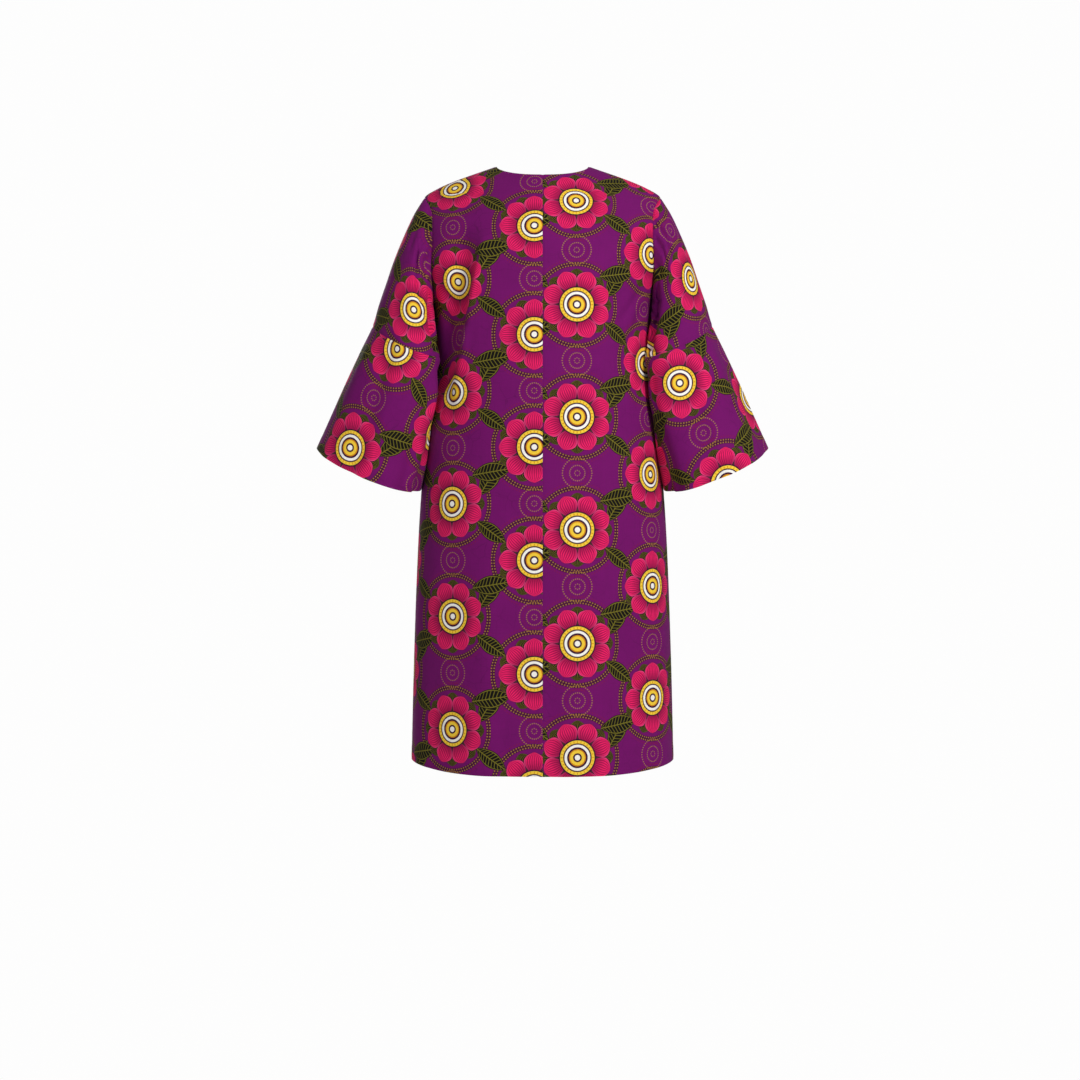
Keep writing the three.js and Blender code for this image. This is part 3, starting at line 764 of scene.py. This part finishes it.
class Wiring:
    """Puts nodes into a tree and joins them up. An input may be a number, a colour or a socket."""

    def __init__(self, tree):
        self.tree = tree

    def add(self, kind, **settings):
        """A new node with those settings."""
        node = self.tree.nodes.new(kind)
        for name, value in settings.items():
            setattr(node, name, value)
        return node

    def feed(self, socket, value):
        """Joins an input to a socket, or sets the input's own value."""
        if isinstance(value, bpy.types.NodeSocket):
            self.tree.links.new(value, socket)
        else:
            socket.default_value = value

    def math(self, operation, *values, clamp=False):
        node = self.add("ShaderNodeMath", operation=operation, use_clamp=clamp)
        for socket, value in zip(node.inputs, values):
            self.feed(socket, value)
        return node.outputs[0]

    def within(self, value, limit, softness):
        """1 where value is under limit and 0 where it is over it, with a soft edge."""
        room = self.math("SUBTRACT", limit, value)
        return self.math("MULTIPLY_ADD", room, 1 / softness, 0.5, clamp=True)

    def both(self, first, second):
        """The product, which is 1 where both masks are."""
        return self.math("MULTIPLY", first, second)

    def radius(self, x, y):
        """The root of x^2 + y^2."""
        return self.math("SQRT", self.math("MULTIPLY_ADD", x, x, self.both(y, y)))

    def either(self, first, second):
        """The greater, which is 1 where one mask is."""
        return self.math("MAXIMUM", first, second)

    def nearest(self, value):
        """The nearest whole number."""
        return self.math("FLOOR", self.math("ADD", value, 0.5))

    def paint(self, share, under, over):
        """One colour laid over another by a share."""
        node = self.add("ShaderNodeMix", data_type="RGBA")
        self.feed(node.inputs[0], share)
        self.feed(node.inputs[6], under)
        self.feed(node.inputs[7], over)
        return node.outputs[2]

    def ramp(self, value, stops):
        """Colours by value, blended evenly from each stop's place to the next one's."""
        node = self.add("ShaderNodeValToRGB")
        node.color_ramp.interpolation = "LINEAR"
        marks = node.color_ramp.elements
        while len(marks) < len(stops):
            marks.new(0.5)
        for mark, (place, colour) in zip(marks, stops):
            mark.position = place
            mark.color = colour
        self.feed(node.inputs[0], value)
        return node.outputs[0]

    def noise(self, place, scale, detail):
        node = self.add("ShaderNodeTexNoise")
        self.feed(node.inputs["Vector"], place)
        self.feed(node.inputs["Scale"], scale)
        self.feed(node.inputs["Detail"], detail)
        return node.outputs

    def feed_shape(self, made, name, ends, aside, width):
        """Fills the mask of a shape of that width and the mask of the shape with its outline."""
        wider = self.math("ADD", width, OUTLINE_WIDTH)
        for output, reach in ((name, width), ("outline", wider)):
            self.feed(made[output], self.both(ends, self.within(aside, reach, EDGE_SOFTNESS)))

    def use(self, group, **values):
        """A group's outputs, placed with its own values."""
        node = self.add("ShaderNodeGroup", node_tree=group)
        for name, value in values.items():
            self.feed(node.inputs[name], value)
        return node.outputs


def make_group(name, inputs, outputs):
    """An empty node group with named sockets, its wiring, its input sockets and its output node."""
    tree = bpy.data.node_groups.new(name, "ShaderNodeTree")
    for words, in_out in ((inputs, "INPUT"), (outputs, "OUTPUT")):
        for word in words.split():
            kind, _, label = word.partition(":")
            sort = {"f": "NodeSocketFloat", "v": "NodeSocketVector", "c": "NodeSocketColor"}[kind]
            tree.interface.new_socket(label, in_out=in_out, socket_type=sort)
    wiring = Wiring(tree)
    return tree, wiring, wiring.add("NodeGroupInput").outputs, wiring.add("NodeGroupOutput").inputs


def ink(red, green, blue):
    """A colour as seen on a screen, from 0 to 255, as the linear values that a shader takes."""
    seen = np.array([red, green, blue]) / 255
    linear = np.where(seen <= 0.04045, seen / 12.92, ((seen + 0.055) / 1.055) ** 2.4)
    return (*linear.tolist(), 1.0)


# The print's colours
PURPLE = ink(118, 12, 105)
DEEP_PURPLE = ink(56, 2, 48)
PINK = ink(238, 32, 104)
PALE_PINK = ink(248, 72, 132)
DARK_PINK = ink(142, 8, 62)
YELLOW = ink(250, 209, 62)
ORANGE = ink(216, 140, 24)
WHITE = ink(252, 249, 243)
BLACK = ink(14, 12, 9)
OLIVE = ink(120, 112, 36)
OCHRE = ink(170, 122, 54)
BROWN = ink(48, 16, 26)
MAROON = ink(136, 20, 58)

# The print's and the weave's measures, in metres
COLUMN_PITCH = 0.146
ROW_PITCH = 0.190
FLOWER_RADIUS = 0.060
BACK_PETAL_REACH = 0.062
PETAL_START = 0.018
HEART_RADIUS = 0.031
BAND_RADIUS = 0.070
BAND_HALF_WIDTH = 0.0042
EDGE_SOFTNESS = 0.0005
END_SOFTNESS = 0.001
OUTLINE_WIDTH = 0.0013
BAND_SOFTNESS = 0.0008
MIDRIB_HALF_WIDTH = 0.0008
LEAST_WIDTH = 0.00001
THREAD = 0.00042
CRACK_DRIFT = (0.012, 0.012, 0.012)

# Their counts and shares
PETALS = 8
PETAL_VEINS = 4.5
PETAL_SHADE = 1.45
LEAF_VEINS = 11
LEAF_VEIN_SLANT = -1.1
HEART_SPOKES = 14
PETAL_VEIN_WIDTH = 0.17
LEAF_VEIN_WIDTH = 0.10
VEIN_SOFTNESS = 0.12
PETAL_RIM_START = 0.88
LEAF_RIM_START = 0.90
RIM_SOFTNESS = 0.06
SPOKE_WIDTH = 0.11
SPOKE_SOFTNESS = 0.1
SPOKES_START = 0.79
SPOKES_END = 0.90
SPOKE_END_SOFTNESS = 0.02
CRACK_WIDTH = 0.012
CRACK_SOFTNESS = 0.02
CRACKED_FROM = 0.5
CRACKED_SOFTNESS = 0.2

# How strongly each dye covers what it is laid on
CLOUD_COVER = 0.28
CRACK_COVER = 0.30
BAND_COVER = 0.75
DOT_COVER = 0.9
VEIN_COVER = 0.9
RIM_COVER = 0.8
WRONG_SIDE_PALENESS = 0.04

# How the cloth varies with a pattern. A pair is a factor on the pattern and what is added to it.
CLOUD_CONTRAST = (0.9, -0.2)
LIGHT_BY_SLUB = (0.5, 0.75)
# Painted shade: the colour is darker where the weave's threads lie low and lighter where they stand
# high.
THREAD_SHADE_BY_HEIGHT = (0.10, 0.95)
ROUGHNESS_BY_SLUB = (0.22, 0.70)
ROUGHNESS_BY_CLOUD = 0.10
SLUB_HEIGHT = 0.6
THREAD_HEIGHT = 0.4

# How many of each pattern's cells go to a metre
DRIFT_SCALE = 45
CRACK_SCALE = 38
CLOUD_SCALE = 14
STREAK_SCALES = [(26, 900, 1), (900, 26, 1)]

# The heart's rings from its middle outwards: each colour's outer edge, as a share of its radius.
HEART_BANDS = [
    (0.15, WHITE), (0.24, DEEP_PURPLE), (0.40, YELLOW), (0.46, ORANGE), (0.56, DEEP_PURPLE),
    (0.70, WHITE), (0.77, DEEP_PURPLE), (0.93, YELLOW), (1.00, DEEP_PURPLE),
]
HEART_BAND_SOFTNESS = 0.008

DottedRing = namedtuple("DottedRing", "radius dots dot_size dye")
RINGS_ROUND_FLOWERS = [
    DottedRing(0.0678, 88, 0.0012, OCHRE),
    DottedRing(0.0722, 94, 0.0012, OCHRE),
    DottedRing(0.0782, 106, 0.0009, MAROON),
]
RINGS_BETWEEN_FLOWERS = [
    DottedRing(0.0250, 38, 0.0011, OCHRE),
    DottedRing(0.0190, 34, 0.0008, MAROON),
    DottedRing(0.0130, 24, 0.0010, OCHRE),
    DottedRing(0.0045, 8, 0.0009, OCHRE),
]

# The leaves on the two diagonals between flowers. aside and above move a leaf off its place.
Leaf = namedtuple("Leaf", "turn length half_width aside above")
RISING_LEAVES = [Leaf(1.02, 0.068, 0.0150, 0.002, 0.004), Leaf(0.16, 0.068, 0.0150, 0.0, -0.006)]
FALLING_LEAVES = [Leaf(-0.62, 0.060, 0.0125, 0.0, 0.0)]

# The dark petals behind and the pink ones before them, turned by a share of a petal's sector.
PetalRing = namedtuple("PetalRing", "lean reach half_width dye vein rim")
PETAL_RINGS = [
    PetalRing(0.5, BACK_PETAL_REACH, 0.0150, BLACK, OLIVE, OLIVE),
    PetalRing(0.0, FLOWER_RADIUS, 0.0172, PINK, DARK_PINK, PALE_PINK),
]


def half_drop_group():
    """Where a point lies from the middle of its repeat: columns side by side, each second one
    moved by half a row."""
    tree, w, given, made = make_group(
        "half_drop", "v:place f:column_pitch f:row_pitch f:shift_across f:shift_along", "f:x f:y f:odd"
    )
    split = w.add("ShaderNodeSeparateXYZ")
    w.feed(split.inputs[0], given["place"])
    across = w.math("DIVIDE", split.outputs[0], given["column_pitch"])
    across = w.math("ADD", across, given["shift_across"])
    column = w.nearest(across)
    odd = w.math("PINGPONG", column, 1.0)
    along = w.math("DIVIDE", split.outputs[1], given["row_pitch"])
    along = w.math("ADD", along, given["shift_along"])
    along = w.math("MULTIPLY_ADD", odd, 0.5, along)
    row = w.nearest(along)
    w.feed(made["x"], w.both(w.math("SUBTRACT", across, column), given["column_pitch"]))
    w.feed(made["y"], w.both(w.math("SUBTRACT", along, row), given["row_pitch"]))
    w.feed(made["odd"], odd)
    return tree


def petals_group():
    """A ring of lined petals: round the middle, each petal is as wide as sin(pi t^1.5)^0.7 of its
    length t, and veins run where its width is divided evenly."""
    tree, w, given, made = make_group(
        "petals", "f:x f:y f:count f:turn f:inner f:outer f:half_width",
        "f:petal f:outline f:vein f:rim f:length",
    )
    radius = w.radius(given["x"], given["y"])
    angle = w.math("ADD", w.math("ARCTAN2", given["y"], given["x"]), given["turn"])
    sector = w.math("DIVIDE", 2 * math.pi, given["count"])
    share = w.math("DIVIDE", angle, sector)
    off_axis = w.both(w.math("SUBTRACT", share, w.nearest(share)), sector)
    sideways = w.both(radius, w.math("SINE", off_axis))
    forward = w.both(radius, w.math("COSINE", off_axis))
    room = w.math("SUBTRACT", given["outer"], given["inner"])
    length = w.math("DIVIDE", w.math("SUBTRACT", forward, given["inner"]), room, clamp=True)
    swell = w.math("SINE", w.both(w.math("POWER", length, 1.5), math.pi))
    swell = w.math("POWER", w.math("MAXIMUM", swell, 0.0), 0.7)
    width = w.math("MULTIPLY_ADD", swell, given["half_width"], LEAST_WIDTH)
    aside = w.math("ABSOLUTE", sideways)
    start = w.within(given["inner"], forward, END_SOFTNESS)
    ends = w.both(start, w.within(forward, given["outer"], END_SOFTNESS))
    w.feed_shape(made, "petal", ends, aside, width)
    by_width = w.math("DIVIDE", aside, width)
    from_vein = w.math("PINGPONG", w.both(by_width, PETAL_VEINS), 0.5)
    w.feed(made["vein"], w.within(from_vein, PETAL_VEIN_WIDTH, VEIN_SOFTNESS))
    w.feed(made["rim"], w.within(PETAL_RIM_START, by_width, RIM_SOFTNESS))
    w.feed(made["length"], length)
    return tree


def leaf_group():
    """A pointed leaf at a turn about its middle, as wide as sin(pi t)^0.9 of its length t, with a
    midrib and slanting veins."""
    tree, w, given, made = make_group(
        "leaf", "f:x f:y f:turn f:length f:half_width", "f:leaf f:outline f:vein"
    )
    cosine, sine = w.math("COSINE", given["turn"]), w.math("SINE", given["turn"])
    forward = w.math("ADD", w.both(given["x"], cosine), w.both(given["y"], sine))
    sideways = w.math("SUBTRACT", w.both(given["y"], cosine), w.both(given["x"], sine))
    share = w.math("ADD", w.math("DIVIDE", forward, given["length"]), 0.5, clamp=True)
    swell = w.math("MAXIMUM", w.math("SINE", w.both(share, math.pi)), 0.0)
    width = w.math("MULTIPLY_ADD", w.math("POWER", swell, 0.9), given["half_width"], LEAST_WIDTH)
    aside = w.math("ABSOLUTE", sideways)
    ends = w.within(w.math("ABSOLUTE", forward), w.both(given["length"], 0.5), END_SOFTNESS)
    w.feed_shape(made, "leaf", ends, aside, width)
    by_width = w.math("DIVIDE", aside, width)
    slant = w.math("MULTIPLY_ADD", by_width, LEAF_VEIN_SLANT, w.both(share, LEAF_VEINS))
    veins = w.within(w.math("PINGPONG", slant, 0.5), LEAF_VEIN_WIDTH, VEIN_SOFTNESS)
    midrib = w.within(aside, MIDRIB_HALF_WIDTH, EDGE_SOFTNESS)
    rim = w.within(LEAF_RIM_START, by_width, RIM_SOFTNESS)
    w.feed(made["vein"], w.either(w.either(veins, midrib), rim))
    return tree


def dotted_ring_group():
    """A ring of evenly spaced round dots, measured along and across the ring from the nearest."""
    tree, w, given, made = make_group("dotted_ring", "f:x f:y f:radius f:dots f:dot_size", "f:dots")
    dots_a_radian = w.math("DIVIDE", given["dots"], 2 * math.pi)
    share = w.both(w.math("ARCTAN2", given["y"], given["x"]), dots_a_radian)
    off = w.math("SUBTRACT", share, w.nearest(share))
    pitch = w.math("DIVIDE", w.both(given["radius"], 2 * math.pi), given["dots"])
    sideways = w.both(off, pitch)
    outwards = w.math("SUBTRACT", w.radius(given["x"], given["y"]), given["radius"])
    w.feed(made["dots"], w.within(w.radius(sideways, outwards), given["dot_size"], EDGE_SOFTNESS))
    return tree


def heart_group():
    """A flower's heart: rings of yellow, white and purple, with spokes across the outer yellow."""
    tree, w, given, made = make_group("heart", "f:x f:y", "c:colour f:heart")
    radius = w.radius(given["x"], given["y"])
    share = w.math("DIVIDE", radius, HEART_RADIUS)
    stops = [(0.0, WHITE)]
    for (edge, colour), (_, following) in zip(HEART_BANDS, HEART_BANDS[1:]):
        stops.append((edge - HEART_BAND_SOFTNESS, colour))
        stops.append((edge + HEART_BAND_SOFTNESS, following))
    colour = w.ramp(share, stops)
    angle = w.both(w.math("ARCTAN2", given["y"], given["x"]), HEART_SPOKES / math.pi)
    spokes = w.within(w.math("PINGPONG", angle, 0.5), SPOKE_WIDTH, SPOKE_SOFTNESS)
    start = w.within(SPOKES_START, share, SPOKE_END_SOFTNESS)
    ends = w.both(start, w.within(share, SPOKES_END, SPOKE_END_SOFTNESS))
    w.feed(made["colour"], w.paint(w.both(spokes, ends), colour, ORANGE))
    w.feed(made["heart"], w.within(radius, HEART_RADIUS, EDGE_SOFTNESS))
    return tree


def crackle_group():
    """Fine broken veins, as where dye has run into cracked wax: the edges of drifting cells, shown
    where a slower cloud of noise is high."""
    tree, w, given, made = make_group("crackle", "v:place", "f:crackle f:cloud")
    bent = w.add("ShaderNodeVectorMath", operation="MULTIPLY_ADD")
    w.feed(bent.inputs[0], w.noise(given["place"], DRIFT_SCALE, detail=3)["Color"])
    w.feed(bent.inputs[1], CRACK_DRIFT)
    w.feed(bent.inputs[2], given["place"])
    cells = w.add("ShaderNodeTexVoronoi", feature="DISTANCE_TO_EDGE")
    w.feed(cells.inputs["Vector"], bent.outputs[0])
    w.feed(cells.inputs["Scale"], CRACK_SCALE)
    cloud = w.noise(given["place"], CLOUD_SCALE, detail=4)["Fac"]
    lines = w.within(cells.outputs["Distance"], CRACK_WIDTH, CRACK_SOFTNESS)
    w.feed(made["crackle"], w.both(lines, w.within(CRACKED_FROM, cloud, CRACKED_SOFTNESS)))
    w.feed(made["cloud"], cloud)
    return tree


def weave_group():
    """The height of a plain weave: warp and weft threads that pass over each other in turn, with
    thicker threads here and there."""
    tree, w, given, made = make_group("plain_weave", "v:place f:thread", "f:height f:slub")
    split = w.add("ShaderNodeSeparateXYZ")
    w.feed(split.inputs[0], given["place"])
    turns = w.math("DIVIDE", math.pi, given["thread"])
    warp = w.math("SINE", w.both(split.outputs[0], turns))
    weft = w.math("SINE", w.both(split.outputs[1], turns))
    w.feed(made["height"], w.math("MULTIPLY_ADD", w.both(warp, weft), 0.5, 0.5))
    streaks = []
    for scale in STREAK_SCALES:
        stretch = w.add("ShaderNodeMapping")
        w.feed(stretch.inputs["Vector"], given["place"])
        w.feed(stretch.inputs["Scale"], scale)
        streaks.append(w.noise(stretch.outputs[0], 1, detail=2)["Fac"])
    w.feed(made["slub"], w.math("MULTIPLY", w.math("ADD", *streaks), 0.5))
    return tree


def wax_print_group():
    """The whole print, laid over a purple ground from the back forwards: a brown band and dotted
    rings round each flower, smaller rings between flowers, two leaves on one diagonal and one on
    the other, dark petals, pink petals and the heart. The flowers stand in a half drop."""
    half_drop, petals, leaf = half_drop_group(), petals_group(), leaf_group()
    dotted_ring, heart, crackle = dotted_ring_group(), heart_group(), crackle_group()
    tree, w, given, made = make_group("wax_print", "v:place", "c:colour f:cloud")

    def repeat(shift_across, shift_along):
        """Places in the repeat, which is moved by shares of a pitch."""
        return w.use(
            half_drop, place=given["place"], column_pitch=COLUMN_PITCH, row_pitch=ROW_PITCH,
            shift_across=shift_across, shift_along=shift_along,
        )

    cracks = w.use(crackle, place=given["place"])
    tint = w.math("MULTIPLY_ADD", cracks["cloud"], *CLOUD_CONTRAST, clamp=True)
    colour = w.paint(w.both(tint, CLOUD_COVER), PURPLE, DEEP_PURPLE)
    colour = w.paint(w.both(cracks["crackle"], CRACK_COVER), colour, DEEP_PURPLE)

    flower, between = repeat(0.0, 0.0), repeat(0.0, 0.5)
    outwards = w.math("SUBTRACT", w.radius(flower["x"], flower["y"]), BAND_RADIUS)
    band = w.within(w.math("ABSOLUTE", outwards), BAND_HALF_WIDTH, BAND_SOFTNESS)
    colour = w.paint(w.both(band, BAND_COVER), colour, BROWN)
    for at, rings in ((flower, RINGS_ROUND_FLOWERS), (between, RINGS_BETWEEN_FLOWERS)):
        for ring in rings:
            drawn = w.use(
                dotted_ring, x=at["x"], y=at["y"],
                radius=ring.radius, dots=ring.dots, dot_size=ring.dot_size,
            )
            colour = w.paint(w.both(drawn["dots"], DOT_COVER), colour, ring.dye)

    rising, falling = repeat(-0.5, -0.25), repeat(-0.5, 0.25)
    for at, leaves in ((rising, RISING_LEAVES), (falling, FALLING_LEAVES)):
        for form in leaves:
            drawn = w.use(
                leaf, x=w.math("ADD", at["x"], form.aside), y=w.math("ADD", at["y"], form.above),
                turn=form.turn, length=form.length, half_width=form.half_width,
            )
            colour = w.paint(drawn["outline"], colour, BLACK)
            colour = w.paint(drawn["leaf"], colour, w.paint(drawn["vein"], BLACK, OLIVE))

    sector = 2 * math.pi / PETALS
    turn = w.both(flower["odd"], sector / 2)
    for ring in PETAL_RINGS:
        drawn = w.use(
            petals, x=flower["x"], y=flower["y"], count=PETALS,
            turn=w.math("ADD", turn, ring.lean * sector),
            inner=PETAL_START, outer=ring.reach, half_width=ring.half_width,
        )
        lined = w.paint(w.both(drawn["vein"], VEIN_COVER), ring.dye, ring.vein)
        lined = w.paint(w.both(drawn["rim"], RIM_COVER), lined, ring.rim)
        shade = w.math("SUBTRACT", 1.0, w.both(drawn["length"], PETAL_SHADE), clamp=True)
        lined = w.paint(shade, lined, DEEP_PURPLE)
        colour = w.paint(drawn["outline"], colour, DEEP_PURPLE)
        colour = w.paint(drawn["petal"], colour, lined)

    middle = w.use(heart, x=flower["x"], y=flower["y"])
    colour = w.paint(middle["heart"], colour, middle["colour"])
    w.feed(made["colour"], colour)
    w.feed(made["cloud"], cracks["cloud"])
    return tree


def cotton_material():
    """Crisp printed cotton, a little paler on its wrong side, with painted shade between threads and a
    soft sheen.
    """
    material = bpy.data.materials.new("wax_print_cotton")
    material.use_nodes = True
    tree = material.node_tree
    shader = tree.nodes["Principled BSDF"]
    w = Wiring(tree)
    place = w.add("ShaderNodeUVMap", uv_map="print_place").outputs[0]
    printed = w.use(wax_print_group(), place=place)
    woven = w.use(weave_group(), place=place, thread=THREAD)
    wrong_side = w.add("ShaderNodeAttribute", attribute_name="wrong_side").outputs["Fac"]

    # The colour is lighter along the thicker threads, and shade is painted where the weave's threads
    # lie low.
    uneven = w.math("MULTIPLY_ADD", woven["slub"], *LIGHT_BY_SLUB)
    threads = w.math("MULTIPLY_ADD", woven["height"], *THREAD_SHADE_BY_HEIGHT)
    light = w.both(uneven, threads)
    shaded = w.add("ShaderNodeVectorMath", operation="SCALE")
    w.feed(shaded.inputs[0], printed["colour"])
    w.feed(shaded.inputs["Scale"], light)
    paleness = w.both(wrong_side, WRONG_SIDE_PALENESS)
    w.feed(shader.inputs["Base Color"], w.paint(paleness, shaded.outputs[0], WHITE))

    roughness = w.math("MULTIPLY_ADD", woven["slub"], *ROUGHNESS_BY_SLUB)
    roughness = w.math("MULTIPLY_ADD", printed["cloud"], ROUGHNESS_BY_CLOUD, roughness)
    w.feed(shader.inputs["Roughness"], roughness)
    thread_height = w.both(woven["height"], THREAD_HEIGHT)
    height = w.math("MULTIPLY_ADD", woven["slub"], SLUB_HEIGHT, thread_height)
    bump = w.add("ShaderNodeBump")
    bump.inputs["Strength"].default_value = 0.35
    bump.inputs["Distance"].default_value = 0.0002
    w.feed(bump.inputs["Height"], height)
    w.feed(shader.inputs["Normal"], bump.outputs[0])
    shader.inputs["Specular IOR Level"].default_value = 0.16
    shader.inputs["Sheen Weight"].default_value = 0.03
    shader.inputs["Sheen Roughness"].default_value = 0.45
    return material


# The floor, light and camera
FLOOR_Z = -1.514
FLOOR_RADIUS = 14
FLOOR_SIDES = 96
PALE_FLOOR = (0.55, 0.55, 0.55, 1.0)
BACKGROUND = (0.985, 0.984, 0.983, 1.0)
CAMERA_AT = (0.0044, 3.5, -0.653)
LENS = 66.7
SENSOR = 36
LIT_POINT = (0, 0, -0.5)
SKY_LIGHT = 0.24
Lamp = namedtuple("Lamp", "name at size power")
LAMPS = [
    Lamp("key", (-1.9, 3.0, 1.2), 1.0, 100),
    Lamp("fill", (2.4, 3.0, 0.0), 2.4, 20),
    Lamp("front_fill", (1.2, -3.4, 1.0), 1.4, 78),
]


def add_camera():
    """A level camera behind the jacket, looking along -Y."""
    data = bpy.data.cameras.new("camera")
    data.lens = LENS
    data.sensor_width = SENSOR
    camera = bpy.data.objects.new("camera", data)
    camera.location = CAMERA_AT
    camera.rotation_euler = (QUARTER, 0, math.pi)
    bpy.context.collection.objects.link(camera)
    bpy.context.scene.camera = camera


def add_floor():
    """A pale round floor, which throws light back up and is seen as white as the background."""
    turns = np.linspace(0, 2 * math.pi, FLOOR_SIDES, endpoint=False)
    rim = np.stack([FLOOR_RADIUS * np.cos(turns), FLOOR_RADIUS * np.sin(turns)], axis=-1)
    points = [(x, y, FLOOR_Z) for x, y in rim.tolist()]
    mesh = bpy.data.meshes.new("floor")
    mesh.from_pydata(points, [], [list(range(len(points)))])
    floor = bpy.data.objects.new("floor", mesh)
    bpy.context.collection.objects.link(floor)
    material = bpy.data.materials.new("pale_floor")
    material.use_nodes = True
    shader = material.node_tree.nodes["Principled BSDF"]
    w = Wiring(material.node_tree)
    seen = w.add("ShaderNodeLightPath").outputs["Is Camera Ray"]
    w.feed(shader.inputs["Base Color"], w.paint(seen, PALE_FLOOR, (0, 0, 0, 1)))
    w.feed(shader.inputs["Emission Color"], BACKGROUND)
    w.feed(shader.inputs["Emission Strength"], seen)
    shader.inputs["Roughness"].default_value = 0.9
    shader.inputs["Specular IOR Level"].default_value = 0.0
    mesh.materials.append(material)


def add_light(lamp):
    """A round soft light, aimed at the jacket."""
    data = bpy.data.lights.new(lamp.name, "AREA")
    data.shape = "DISK"
    data.size = lamp.size
    data.energy = lamp.power
    light = bpy.data.objects.new(lamp.name, data)
    light.location = lamp.at
    aim = Vector(LIT_POINT) - Vector(lamp.at)
    light.rotation_euler = aim.to_track_quat("-Z", "Y").to_euler()
    bpy.context.collection.objects.link(light)


def add_world():
    """A white sky that the camera sees brighter than the jacket does."""
    world = bpy.data.worlds.new("studio")
    bpy.context.scene.world = world
    world.use_nodes = True
    tree = world.node_tree
    tree.nodes.clear()
    w = Wiring(tree)
    seen = w.add("ShaderNodeBackground")
    seen.inputs["Color"].default_value = BACKGROUND
    sky = w.add("ShaderNodeBackground")
    sky.inputs["Color"].default_value = (1.0, 1.0, 1.0, 1.0)
    sky.inputs["Strength"].default_value = SKY_LIGHT
    mix = w.add("ShaderNodeMixShader")
    w.feed(mix.inputs[0], w.add("ShaderNodeLightPath").outputs["Is Camera Ray"])
    w.feed(mix.inputs[1], sky.outputs[0])
    w.feed(mix.inputs[2], seen.outputs[0])
    w.feed(w.add("ShaderNodeOutputWorld").inputs[0], mix.outputs[0])


add_camera()
add_floor()
add_world()
for lamp in LAMPS:
    add_light(lamp)
bpy.context.scene.view_settings.view_transform = "Standard"

cotton = cotton_material()

# The record of a piece's cut: its greatest width and length with seam allowances, and its flat area.
Cut = namedtuple("Cut", "width length area")


for word, side in SIDES.items():
    for face in ("back", "front"):
        outer, inner, flat = body_cloth(side, face)
        panel = add_piece(f"{face}_{word}", outer, inner, flat, side, -FACE_SIGN[face], False)
    for part, first, last, rows, above in (
        ("sleeve_upper", 0, ELBOW_RING, UPPER_ROWS, "back"),
        ("sleeve_flare", ELBOW_RING, CUFF_RING, FLARE_ROWS, "sleeve_upper"),
    ):
        outer, inner, flat = sleeve_cloth(side, first, last, rows)
        sleeve = add_piece(f"{part}_{word}", outer, inner, flat, side, 1, True)
